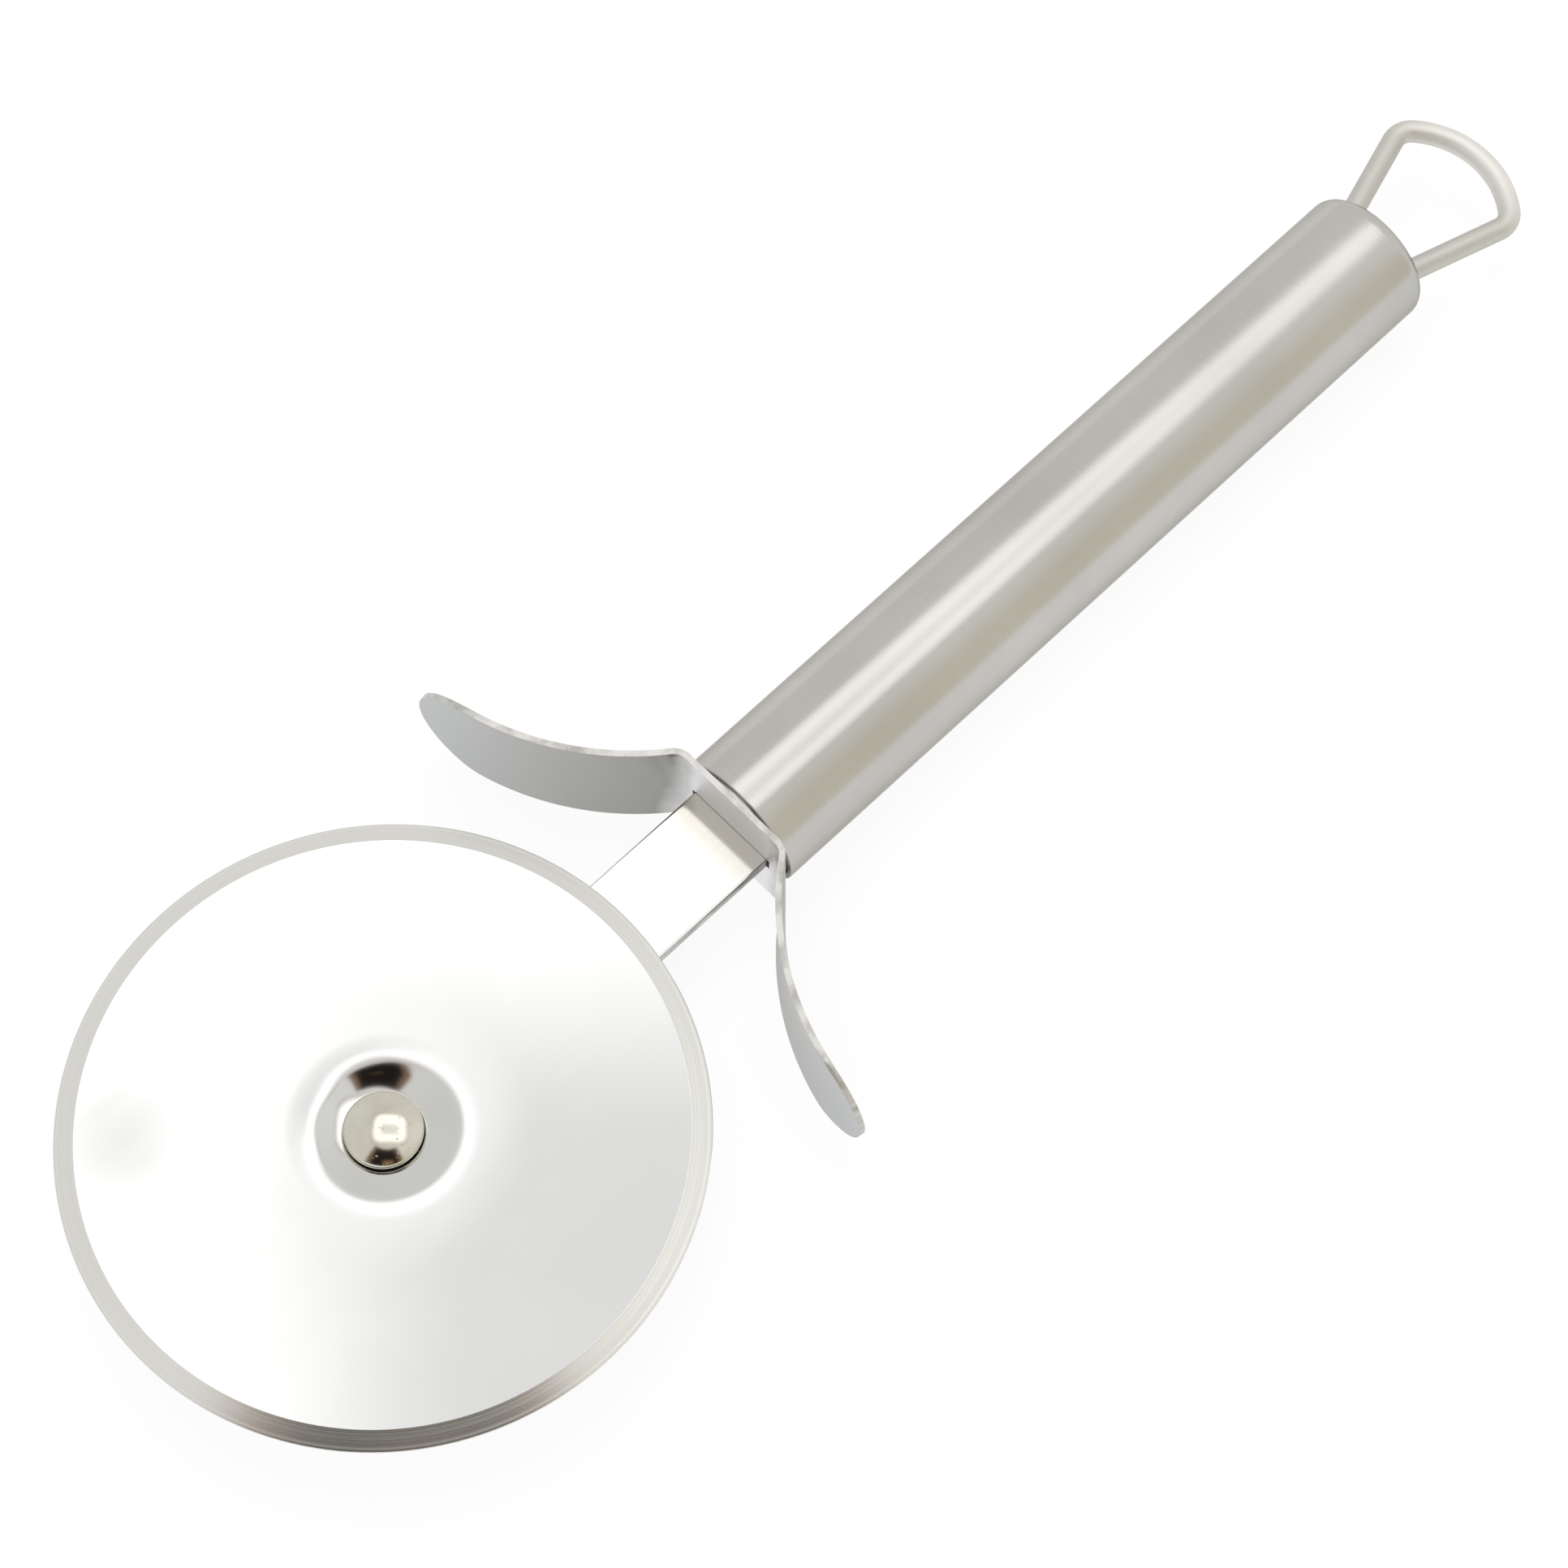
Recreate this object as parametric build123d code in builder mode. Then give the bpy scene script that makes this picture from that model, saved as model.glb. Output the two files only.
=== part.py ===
from build123d import *
import math
import os

os.makedirs("parts", exist_ok=True)

# Pizza cutter with a tubular steel handle. Sizes are in millimetres.
# The tool lies flat: +X runs from the wheel towards the hanging loop, +Z is up, and the origin
# is under the middle of the tool, on the surface that it lies on.

# Cutting wheel: a pressed disc with a shallow dish in its middle and a ground edge
wheel_diameter = 80
wheel_sheet = 1.2
bevel_width = 2.5
edge_land = 0.15
under_bevel_width = 1
under_bevel_drop = 0.15
dish_floor_diameter = 9.2
floor_bend_radius = 2.5
floor_bend_angle = 16
dish_wall_radius = 12.3
dish_wall_angle = 26
rim_bend_radius = 6.8

# Axle: a domed rivet through a spacer bush, with a washer on each side of the wheel
rivet_diameter = 4
rivet_head_diameter = 9.9
rivet_head_rim = 0.4
rivet_dome_radius = 9.7
rivet_rim_round = 0.15
rivet_tail_diameter = 6.6
rivet_tail_height = 1.3
bush_wall = 1
front_washer_diameter = 9
front_washer_thickness = 0.3
rear_washer_diameter = 11
rear_washer_thickness = 1
tail_washer_diameter = 9
tail_washer_thickness = 0.6
axial_play = 0.1
running_clearance = 0.05
fixed_clearance = 0.02

# Arm: a flat bar from the wheel to deep inside the handle
arm_width = 13
arm_thickness = 2
arm_edge_round = 0.3
tang_end_chamfer = 1.5

# Finger guard: one bent strip with rounded ends and a slot for the arm
rim_to_guard = 18.6
guard_sheet = 0.8
guard_width = 18.8
guard_span = 80
guard_corner = 9.1
guard_bend_radius = 2.2
wing_angle = 52.3
wing_run = 0.4
wing_radius = 39.4
wing_tip_angle = 11.2
wing_bow = 0.45
bow_growth_length = 5
slot_side_clearance = 0.4
slot_height_clearance = 0.12

# Handle: a tube, a disc that closes its mouth, and a plug that grips the end of the arm
handle_diameter = 19
handle_wall = 0.8
handle_length = 117.8
mouth_gap = 0.6
mouth_disc_inset = 0.9
plug_length = 32
plug_clearance = 0.05
tang_clearance = 0.05
tang_end_gap = 2
pin_diameter = 3
pin_recess = 0.6
pin_spacing = 14

# End cap and hanging loop
cap_length = 3.2
cap_edge_radius = 2.1
cap_wall = 1
cap_spigot_length = 4
wire_diameter = 3
loop_reach = 22.1
loop_leg_offset = 5.2
loop_leg_angle = 17
loop_leg_depth = 7
loop_corner_radius = 2.9
loop_bow_radius = 13.3
loop_hole_clearance = 0.05

# Places along the tool, worked out from the sizes above
wheel_radius = wheel_diameter / 2
overall_length = wheel_diameter + rim_to_guard + guard_sheet + mouth_gap + handle_length + loop_reach
wheel_x = wheel_radius - overall_length / 2
web_front_x = wheel_x + wheel_radius + rim_to_guard
web_x = web_front_x + guard_sheet / 2
web_back_x = web_front_x + guard_sheet
mouth_x = web_back_x + mouth_gap
plug_x = mouth_x + mouth_disc_inset
tang_end_x = plug_x + plug_length - tang_end_gap
handle_end_x = mouth_x + handle_length
cap_joint_x = handle_end_x - cap_length

# Heights: the handle's middle line carries everything else
handle_radius = handle_diameter / 2
bore_radius = handle_radius - handle_wall
axis_z = handle_radius
arm_top_z = axis_z + arm_thickness / 2
arm_bottom_z = axis_z - arm_thickness / 2
rear_washer_top_z = arm_top_z + rear_washer_thickness
floor_under_z = rear_washer_top_z + axial_play
floor_top_z = floor_under_z + wheel_sheet
front_washer_z = floor_top_z + axial_play
head_under_z = front_washer_z + front_washer_thickness
tail_washer_z = arm_bottom_z - tail_washer_thickness

# Radii about the axle
shank_radius = rivet_diameter / 2
bush_bore_radius = shank_radius + fixed_clearance
bush_radius = bush_bore_radius + bush_wall
wheel_bore_radius = bush_radius + running_clearance
washer_bore_radius = bush_radius + fixed_clearance

# Planes and axes that the pieces share
axle_plane = Plane(origin=(wheel_x, 0, 0), x_dir=(1, 0, 0), z_dir=(0, -1, 0))
axle_axis = Axis((wheel_x, 0, 0), (0, 0, 1))
handle_plane = Plane(origin=(0, 0, axis_z), x_dir=(0, 1, 0), z_dir=(1, 0, 0))
handle_axis = Axis((0, 0, axis_z), (1, 0, 0))


def ring(bottom_z, outer_radius, inner_radius, thickness):
    """A flat ring about the axle, with its lower face at the given height."""
    with BuildPart() as piece:
        with BuildSketch(Plane.XY.offset(bottom_z)):
            with Locations((wheel_x, 0)):
                Circle(outer_radius)
                Circle(inner_radius, mode=Mode.SUBTRACT)
        extrude(amount=thickness)
    return piece


def save(piece, name):
    """Label a finished piece and write it to its own file."""
    piece.part.label = name
    export_step(piece.part, "parts/" + name + ".step")


# Cutting wheel. Each face of the sheet runs along the dish floor, up through two hollow arcs,
# over the rim bend, and out to the edge.
floor_radius = dish_floor_diameter / 2
wall_turn = dish_wall_angle - floor_bend_angle

with BuildPart() as cutting_wheel:
    with BuildSketch(axle_plane):
        with BuildLine():
            top_floor = Line((wheel_bore_radius, floor_top_z), (floor_radius, floor_top_z))
            top_bend = JernArc(top_floor @ 1, (1, 0), floor_bend_radius, floor_bend_angle)
            top_wall = JernArc(top_bend @ 1, top_bend % 1, dish_wall_radius, wall_turn)
            top_rim = JernArc(top_wall @ 1, top_wall % 1, rim_bend_radius + wheel_sheet, -dish_wall_angle)
            face_z = (top_rim @ 1).Y
            edge_under_z = face_z - wheel_sheet + under_bevel_drop
            low_floor = Line((wheel_bore_radius, floor_under_z), (floor_radius, floor_under_z))
            low_bend = JernArc(low_floor @ 1, (1, 0), floor_bend_radius + wheel_sheet, floor_bend_angle)
            low_wall = JernArc(low_bend @ 1, low_bend % 1, dish_wall_radius + wheel_sheet, wall_turn)
            low_rim = JernArc(low_wall @ 1, low_wall % 1, rim_bend_radius, -dish_wall_angle)
            Polyline(
                top_rim @ 1,
                (wheel_radius - bevel_width, face_z),
                (wheel_radius, edge_under_z + edge_land),
                (wheel_radius, edge_under_z),
                (wheel_radius - under_bevel_width, face_z - wheel_sheet),
                low_rim @ 1,
            )
            Line(top_floor @ 0, low_floor @ 0)
        make_face()
    revolve(axis=axle_axis)
save(cutting_wheel, "cutting_wheel")

# Spacer bush: the rivet is closed tight on it, and the wheel turns freely on its outside
bush_length = head_under_z - arm_top_z
axle_bush = ring(arm_top_z, bush_radius, bush_bore_radius, bush_length)
save(axle_bush, "axle_bush")

# Washers: one under the rivet's head, one behind the wheel, and one behind the arm
front_washer = ring(front_washer_z, front_washer_diameter / 2, washer_bore_radius, front_washer_thickness)
save(front_washer, "front_washer")

rear_washer = ring(arm_top_z, rear_washer_diameter / 2, washer_bore_radius, rear_washer_thickness)
save(rear_washer, "rear_washer")

tail_washer = ring(tail_washer_z, tail_washer_diameter / 2, bush_bore_radius, tail_washer_thickness)
save(tail_washer, "tail_washer")

# Axle rivet: a domed head on a short cylindrical rim, the shank, and a closed tail
head_radius = rivet_head_diameter / 2
head_rim_z = head_under_z + rivet_head_rim
dome_height = rivet_dome_radius - math.sqrt(rivet_dome_radius**2 - head_radius**2)
tail_radius = rivet_tail_diameter / 2
tail_end_z = tail_washer_z - rivet_tail_height

with BuildPart() as axle_rivet:
    with BuildSketch(axle_plane) as rivet_profile:
        with BuildLine():
            RadiusArc((0, head_rim_z + dome_height), (head_radius, head_rim_z), rivet_dome_radius)
            Polyline(
                (head_radius, head_rim_z),
                (head_radius, head_under_z),
                (shank_radius, head_under_z),
                (shank_radius, tail_washer_z),
                (tail_radius, tail_washer_z),
            )
            EllipticalCenterArc((0, tail_washer_z), tail_radius, rivet_tail_height, start_angle=270, arc_size=90)
            Line((0, tail_end_z), (0, head_rim_z + dome_height))
        make_face()
        rim_corner = rivet_profile.vertices().sort_by_distance((head_radius, head_rim_z))[0]
        fillet(rim_corner, radius=rivet_rim_round)
    revolve(axis=axle_axis)
save(axle_rivet, "axle_rivet")

# Arm: round at the axle, square where it ends inside the handle
pin_places = [(plug_x + (plug_length - tang_end_gap) / 2 + side * pin_spacing / 2, 0) for side in (-1, 1)]

with BuildPart() as arm:
    with BuildSketch(Plane.XY.offset(arm_bottom_z)):
        with Locations(((wheel_x + tang_end_x) / 2, 0)):
            Rectangle(tang_end_x - wheel_x, arm_width)
        with Locations((wheel_x, 0)):
            Circle(arm_width / 2)
    extrude(amount=arm_thickness)
    end_corners = arm.edges().filter_by(Axis.Z).group_by(Axis.X)[-1]
    chamfer(end_corners, length=tang_end_chamfer)
    flat_sides = arm.faces().filter_by(Axis.Z)
    fillet(flat_sides.edges(), radius=arm_edge_round)
    with BuildSketch(Plane.XY.offset(arm_bottom_z)):
        with Locations((wheel_x, 0)):
            Circle(bush_bore_radius)
        with Locations(*pin_places):
            Circle(pin_diameter / 2 + fixed_clearance)
    extrude(amount=arm_thickness, mode=Mode.SUBTRACT)
save(arm, "arm")

# Finger guard. Its strip stands on edge. Seen from above, its middle line runs along the web,
# round the bend, along a short straight run, and out on a wide arc that turns back.
# Its angle is 0 along +Y and grows as it leans towards the wheel.
bend_middle_radius = guard_bend_radius + guard_sheet / 2


def along(angle):
    """The way that the strip runs where it leans by the angle, seen from above."""
    return Vector(-math.sin(math.radians(angle)), math.cos(math.radians(angle)))


def backward(angle):
    """Square to the strip, to its side that faces the handle."""
    return Vector(math.cos(math.radians(angle)), math.sin(math.radians(angle)))


bend_tangent = bend_middle_radius * math.tan(math.radians(wing_angle / 2))
web_corner = Vector(web_x, guard_corner)
bend_start = web_corner - along(0) * bend_tangent
run_start = web_corner + along(wing_angle) * bend_tangent
run_end = run_start + along(wing_angle) * wing_run
wing_centre = run_end + backward(wing_angle) * wing_radius
tip_start = wing_centre - backward(wing_tip_angle) * wing_radius


def strip_section(place, angle, bow):
    """The strip's section square to its middle line, bulging backward by the bow."""
    plane = Plane(
        origin=(place.X, place.Y, axis_z),
        x_dir=backward(angle),
        z_dir=along(angle),
    )
    half_sheet = guard_sheet / 2
    half_width = guard_width / 2
    with BuildSketch(plane) as section:
        with BuildLine():
            Bezier((-half_sheet, -half_width), (2 * bow - half_sheet, 0), (-half_sheet, half_width))
            Line((-half_sheet, half_width), (half_sheet, half_width))
            Bezier((half_sheet, half_width), (2 * bow + half_sheet, 0), (half_sheet, -half_width))
            Line((half_sheet, -half_width), (-half_sheet, -half_width))
        make_face()
    return section.sketch


# The bow grows from nothing at the bend to its full depth a little way out on the wide arc.
# The strip goes on past its end here, and its rounded outline is cut below.
growth_turn = math.degrees(bow_growth_length / wing_radius)
full_bow_angle = wing_angle - growth_turn
full_bow_start = wing_centre - backward(full_bow_angle) * wing_radius
growth_sections = [strip_section(run_start, wing_angle, 0)]
growth_shares = (0, 0.25, 0.5, 0.75, 1)
for share in growth_shares:
    angle = wing_angle - growth_turn * share
    length_share = (wing_run + bow_growth_length * share) / (wing_run + bow_growth_length)
    bow = wing_bow * length_share**2 * (3 - 2 * length_share)
    growth_sections.append(strip_section(wing_centre - backward(angle) * wing_radius, angle, bow))

with BuildPart() as finger_guard:
    with BuildSketch(Plane.XY.offset(axis_z)):
        with BuildLine():
            web_line = Line((web_x, 0), bend_start)
            JernArc(web_line @ 1, (0, 1), bend_middle_radius, wing_angle)
        trace(line_width=guard_sheet)
    extrude(amount=guard_width / 2, both=True)
    loft(growth_sections)
    full_bow_section = strip_section(full_bow_start, full_bow_angle, wing_bow)
    wing_axis = Axis((wing_centre.X, wing_centre.Y, 0), (0, 0, -1))
    revolve(full_bow_section, axis=wing_axis, revolution_arc=full_bow_angle - wing_tip_angle)
    extrude(strip_section(tip_start, wing_tip_angle, wing_bow), amount=guard_span / 2)
    mirror(about=Plane.XZ)
    with BuildSketch(handle_plane):
        SlotOverall(guard_span, guard_width)
    extrude(amount=overall_length, both=True, mode=Mode.INTERSECT)
    with BuildSketch(handle_plane):
        Rectangle(arm_width + 2 * slot_side_clearance, arm_thickness + 2 * slot_height_clearance)
    extrude(amount=overall_length, both=True, mode=Mode.SUBTRACT)
save(finger_guard, "finger_guard")

# Handle tube
with BuildPart() as handle_tube:
    with BuildSketch(handle_plane.offset(mouth_x)):
        Circle(handle_radius)
        Circle(bore_radius, mode=Mode.SUBTRACT)
    extrude(amount=cap_joint_x - mouth_x)
save(handle_tube, "handle_tube")

# Disc that closes the tube's mouth round the arm
insert_radius = bore_radius - plug_clearance
tang_slot_width = arm_width + 2 * tang_clearance
tang_slot_height = arm_thickness + 2 * tang_clearance

with BuildPart() as mouth_disc:
    with BuildSketch(handle_plane.offset(web_back_x)):
        Circle(insert_radius)
        Rectangle(tang_slot_width, tang_slot_height, mode=Mode.SUBTRACT)
    extrude(amount=plug_x - web_back_x)
save(mouth_disc, "mouth_disc")

# Plug inside the tube that grips the end of the arm
with BuildPart() as tang_plug:
    with BuildSketch(handle_plane.offset(plug_x)):
        Circle(insert_radius)
        Rectangle(tang_slot_width, tang_slot_height, mode=Mode.SUBTRACT)
    extrude(amount=plug_length)
    with BuildSketch(Plane.XY):
        with Locations(*pin_places):
            Circle(pin_diameter / 2 + fixed_clearance)
    extrude(amount=handle_diameter, mode=Mode.SUBTRACT)
save(tang_plug, "tang_plug")

# Two cross pins through the plug and the arm, their ends a little below the plug's surface
pin_radius = pin_diameter / 2
pin_half_length = math.sqrt(insert_radius**2 - pin_radius**2) - pin_recess

with BuildPart() as tang_pins:
    with BuildSketch(Plane.XY.offset(axis_z)):
        with Locations(*pin_places):
            Circle(pin_radius)
    extrude(amount=pin_half_length, both=True)
save(tang_pins, "tang_pins")

# End cap: flush with the tube outside, with a spigot inside it and two slanted holes for the loop
spigot_radius = insert_radius
cap_bore_radius = spigot_radius - cap_wall
spigot_end_x = cap_joint_x - cap_spigot_length
leg_root = Vector(handle_end_x, loop_leg_offset, axis_z)
leg_direction = Vector(math.cos(math.radians(loop_leg_angle)), math.sin(math.radians(loop_leg_angle)))
leg_hole_radius = wire_diameter / 2 + loop_hole_clearance

with BuildPart() as end_cap:
    with BuildSketch(Plane.XY.offset(axis_z)) as cap_profile:
        with BuildLine():
            Polyline(
                (handle_end_x - cap_wall, 0),
                (handle_end_x, 0),
                (handle_end_x, handle_radius),
                (cap_joint_x, handle_radius),
                (cap_joint_x, spigot_radius),
                (spigot_end_x, spigot_radius),
                (spigot_end_x, cap_bore_radius),
                (handle_end_x - cap_wall, cap_bore_radius),
                close=True,
            )
        make_face()
        outer_corner = cap_profile.vertices().sort_by_distance((handle_end_x, handle_radius))[0]
        fillet(outer_corner, radius=cap_edge_radius)
    revolve(axis=handle_axis)
    for side in (-1, 1):
        hole_plane = Plane(
            origin=(leg_root.X, side * leg_root.Y, leg_root.Z),
            z_dir=(leg_direction.X, side * leg_direction.Y, 0),
        )
        with BuildSketch(hole_plane):
            Circle(leg_hole_radius)
        extrude(amount=loop_leg_depth, both=True, mode=Mode.SUBTRACT)
save(end_cap, "end_cap")

# Hanging loop: two straight legs that spread apart, a small corner at the end of each, and the bow.
# Each corner is tangent to its leg, and touches the bow's circle from inside.
loop_apex_x = handle_end_x + loop_reach - wire_diameter / 2
bow_centre = Vector(loop_apex_x - loop_bow_radius, 0, axis_z)
leg_inward = Vector(leg_direction.Y, -leg_direction.X)
from_bow_centre = leg_root + leg_inward * loop_corner_radius - bow_centre
along_leg = from_bow_centre.dot(leg_direction)
corner_distance = loop_bow_radius - loop_corner_radius
leg_reach = math.sqrt(along_leg**2 - from_bow_centre.length**2 + corner_distance**2) - along_leg
leg_start = leg_root - leg_direction * loop_leg_depth
leg_end = leg_root + leg_direction * leg_reach
corner_centre = leg_end + leg_inward * loop_corner_radius
corner_angle = 90 + loop_leg_angle
bow_angle = math.degrees(math.atan2(corner_centre.Y, corner_centre.X - bow_centre.X))

with BuildPart() as hanging_loop:
    with BuildLine() as loop_path:
        leg = Line(leg_start, leg_end)
        corner = CenterArc(corner_centre, loop_corner_radius, corner_angle, bow_angle - corner_angle)
        mirror([leg, corner], about=Plane.XZ)
        CenterArc(bow_centre, loop_bow_radius, -bow_angle, 2 * bow_angle)
    with BuildSketch(Plane(origin=loop_path.wire() @ 0, z_dir=loop_path.wire() % 0)):
        Circle(wire_diameter / 2)
    sweep()
save(hanging_loop, "hanging_loop")
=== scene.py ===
import math

import bmesh
import bpy
from mathutils import Euler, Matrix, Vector


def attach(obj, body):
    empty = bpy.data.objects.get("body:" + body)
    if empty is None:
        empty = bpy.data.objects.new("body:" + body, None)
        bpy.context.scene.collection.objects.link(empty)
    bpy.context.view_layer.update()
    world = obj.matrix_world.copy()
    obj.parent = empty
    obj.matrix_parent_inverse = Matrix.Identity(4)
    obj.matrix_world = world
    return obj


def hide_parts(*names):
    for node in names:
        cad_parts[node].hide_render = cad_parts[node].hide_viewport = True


# A pizza cutter in stainless steel, lying on its side. The wheel's mirror face and the satin handle
# are what the eye goes to, so each piece that shows is modelled again here with smooth curves and
# soft edges. Sizes are in millimetres, and are turned to metres when a piece is finished.

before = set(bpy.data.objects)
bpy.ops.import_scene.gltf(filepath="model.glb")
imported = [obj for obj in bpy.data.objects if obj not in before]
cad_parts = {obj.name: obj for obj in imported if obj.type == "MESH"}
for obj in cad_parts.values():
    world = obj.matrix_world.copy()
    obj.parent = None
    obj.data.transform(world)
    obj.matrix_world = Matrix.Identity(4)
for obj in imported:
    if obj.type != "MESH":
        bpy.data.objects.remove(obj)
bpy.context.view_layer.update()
MM = 0.001

# ---------------------------------------------------------------- sizes that the pieces share

WHEEL_X = -79.95
WHEEL_RADIUS = 40
AXIS_Z = 9.5
FLOOR_TOP_Z = 12.8
SHEET = 1.2
MOUTH_X = -19.95
CAP_JOINT_X = 94.65
HANDLE_END_X = 97.85
HANDLE_RADIUS = 9.5

ALONG_X, ALONG_Y, ALONG_Z, AGAINST_Y = (1, 0, 0), (0, 1, 0), (0, 0, 1), (0, -1, 0)


# ---------------------------------------------------------------- drawing profiles

def about_axle(points):
    """Distances from the wheel's axle and heights, as places in the tool."""
    return [(WHEEL_X + radius, 0, z) for radius, z in points]


def about_handle(points):
    """Places along the handle and distances from its middle line, as places in the tool."""
    return [(x, 0, AXIS_Z + radius) for x, radius in points]


def lines_to(bm, tip, points):
    """Carry a profile straight on through new points."""
    for point in points:
        tip = bmesh.ops.extrude_vert_indiv(bm, verts=[tip])["verts"][0]
        tip.co = point
    return tip


def arc_to(bm, tip, centre, axis, degrees, steps):
    """Carry a profile round a centre."""
    turned = bmesh.ops.spin(bm, geom=[tip], cent=centre, axis=axis, angle=math.radians(degrees),
                            steps=steps)
    return turned["geom_last"][0]


def turn_profile(bm, centre, axis, steps):
    """Turn the whole profile once round, as on a lathe."""
    bmesh.ops.spin(bm, geom=bm.verts[:] + bm.edges[:], cent=centre, axis=axis,
                   angle=2 * math.pi, steps=steps, use_merge=True)


def raise_shape(bm, shape, height):
    """Lift what an extrusion made."""
    grown = [part for part in shape["geom"] if isinstance(part, bmesh.types.BMVert)]
    bmesh.ops.translate(bm, vec=(0, 0, height), verts=grown)


def mirror_across_middle(bm):
    """Give the piece its other half, across the tool's middle plane."""
    bmesh.ops.mirror(bm, geom=bm.verts[:] + bm.edges[:] + bm.faces[:], merge_dist=0.001, axis="Y")


def even_shading(piece):
    """Keep the big flat faces flat, so that only the small bevels beside them are shaded round."""
    piece.modifiers.new("even_shading", "WEIGHTED_NORMAL").keep_sharp = True


def finish_piece(bm, name, body, node, finishes, crease=35):
    """Merge, turn the normals out, scale to metres, and hand the piece to its body."""
    bmesh.ops.remove_doubles(bm, verts=bm.verts[:], dist=0.0005)
    bmesh.ops.dissolve_degenerate(bm, edges=bm.edges[:], dist=0.0003)
    bmesh.ops.recalc_face_normals(bm, faces=bm.faces[:])
    bmesh.ops.scale(bm, vec=(MM, MM, MM), verts=bm.verts[:])
    mesh = bpy.data.meshes.new(name)
    bm.to_mesh(mesh)
    bm.free()
    mesh.shade_smooth()
    mesh.set_sharp_from_angle(angle=math.radians(crease))
    piece = bpy.data.objects.new(name, mesh)
    bpy.context.scene.collection.objects.link(piece)
    for finish in finishes:
        mesh.materials.append(finish)
    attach(piece, body)
    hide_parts(node)
    return piece


# ---------------------------------------------------------------- nodes and patterns

def colour(code):
    """An sRGB hex colour as linear red, green, blue, alpha."""
    parts = [int(code[i:i + 2], 16) / 255 for i in (1, 3, 5)]
    return [c / 12.92 if c <= 0.04045 else ((c + 0.055) / 1.055) ** 2.4 for c in parts] + [1]


def grey(value):
    return (value, value, value, 1)


def add(tree, kind, inputs=(), stops=(), **settings):
    """Add a node. An input is a value, another node's output, or another node, which stands for its
    first output. A colour ramp's stops are given as place and colour."""
    made = tree.nodes.new(kind)
    for key, value in settings.items():
        setattr(made, key, value)
    for key, value in dict(inputs).items():
        if isinstance(value, bpy.types.Node):
            value = value.outputs[0]
        if isinstance(value, bpy.types.NodeSocket):
            tree.links.new(value, made.inputs[key])
        else:
            made.inputs[key].default_value = value
    for number, (place, shade) in enumerate(stops):
        band = made.color_ramp.elements
        # A new ramp has two stops
        stop = band[number] if number < 2 else band.new(place)
        stop.position, stop.color = place, shade
    return made


def new_tree(made):
    """An empty node tree for a material or a world."""
    made.use_nodes = True
    made.node_tree.nodes.clear()
    return made.node_tree


def new_metal(name):
    """A new material, its node tree, and the object coordinates that its patterns run on."""
    made = bpy.data.materials.new(name)
    tree = new_tree(made)
    return made, tree, add(tree, "ShaderNodeTexCoord").outputs["Object"]


def close_metal(tree, look):
    """Give the metal its look. A grain runs along the tangent, so the highlight is drawn out square
    to it."""
    shader = add(tree, "ShaderNodeBsdfPrincipled", {"Metallic": 1.0, "Anisotropic Rotation": 0.25, **look})
    add(tree, "ShaderNodeOutputMaterial", {"Surface": shader})


def mottle(tree, place, size_mm, detail=3, stretch=(1, 1, 1)):
    """Noise with features of about the given size, drawn out along an axis by its stretch."""
    scale = [1 / (size_mm * MM) / s for s in stretch]
    laid = add(tree, "ShaderNodeMapping", {"Vector": place, "Scale": scale})
    return add(tree, "ShaderNodeTexNoise", {"Vector": laid, "Scale": 1.0, "Detail": detail}).outputs["Fac"]


def axle_radius(tree, place):
    """Distance from the wheel's axle, in metres."""
    local = add(tree, "ShaderNodeMapping", {"Vector": place, "Location": (-WHEEL_X * MM, 0, 0)})
    flat = add(tree, "ShaderNodeVectorMath", {0: local, 1: (1, 1, 0)}, operation="MULTIPLY")
    return add(tree, "ShaderNodeVectorMath", {0: flat}, operation="LENGTH").outputs["Value"]


def rings(tree, place, spacing_mm, detail=4):
    """Turned lines round the axle, uneven as a stone leaves them."""
    far = add(tree, "ShaderNodeMath", {0: axle_radius(tree, place), 1: 1 / (spacing_mm * MM)},
              operation="MULTIPLY")
    return add(tree, "ShaderNodeTexNoise", {"W": far, "Scale": 1.0, "Detail": detail},
               noise_dimensions="1D").outputs["Fac"]


# ---------------------------------------------------------------- materials

def mirror_steel():
    """Stainless sheet, mirror polished on a buff. It shows its surroundings sharply, with a faint
    haze from the buffing and a few soft waves left by the pressing."""
    made, tree, place = new_metal("mirror_polished_stainless")
    haze = mottle(tree, place, 22, 4)
    # Buffing wipes 2 mm wide and 14 mm long vary the haze
    wipes = mottle(tree, place, 2, 3, (7, 1, 1))
    buffed = add(tree, "ShaderNodeMapRange", {"Value": wipes, "To Min": 0.035, "To Max": 0.075})
    # The buff doesn't reach into the dish, which stays a little dull from the press, most at its rim
    radius = add(tree, "ShaderNodeMath", {0: axle_radius(tree, place), 1: 20 * MM}, operation="DIVIDE")
    dish = add(tree, "ShaderNodeValToRGB", {"Fac": radius},
               [(0.38, grey(0.05)), (0.45, grey(0.13)), (0.6, grey(0.13)), (0.95, grey(0.0))])
    waves = mottle(tree, place, 30, 1)
    close_metal(tree, {
        "Base Color": add(tree, "ShaderNodeValToRGB", {"Fac": haze},
                          [(0.3, colour("#d1d1cf")), (0.75, colour("#d6d6d5"))]),
        "Roughness": add(tree, "ShaderNodeMath", {0: buffed, 1: dish}, operation="ADD"),
        "Normal": add(tree, "ShaderNodeBump", {"Height": waves, "Distance": 0.01 * MM, "Strength": 0.5}),
    })
    return made


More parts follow.
